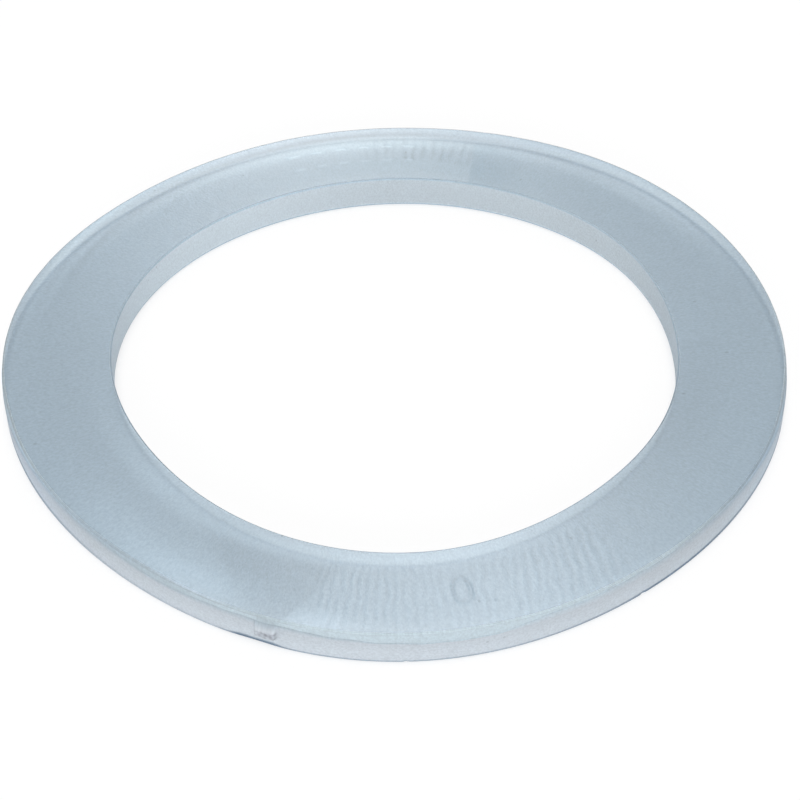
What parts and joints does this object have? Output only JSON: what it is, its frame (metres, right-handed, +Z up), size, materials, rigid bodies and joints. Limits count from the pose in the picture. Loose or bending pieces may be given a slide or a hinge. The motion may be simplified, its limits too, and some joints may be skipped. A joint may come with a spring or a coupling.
{
  "type": "union gasket",
  "caption": "Flat translucent moulded ring that seals the faces of a pipe union inside its nut.",
  "frame": {"origin": "on the ring's axis, at the lower sealing face it lies on", "axes": "+Z up along the ring's axis, from the lower sealing face to the upper one; the gate stub is 251.5 degrees round from +X towards +Y"},
  "size_m": [0.044, 0.044, 0.002],
  "materials": {
    "milky_elastomer": "satin translucent, as moulded"
  },
  "bodies": {
    "root": {"gasket_ring": "milky_elastomer"}
  },
  "joints": []
}
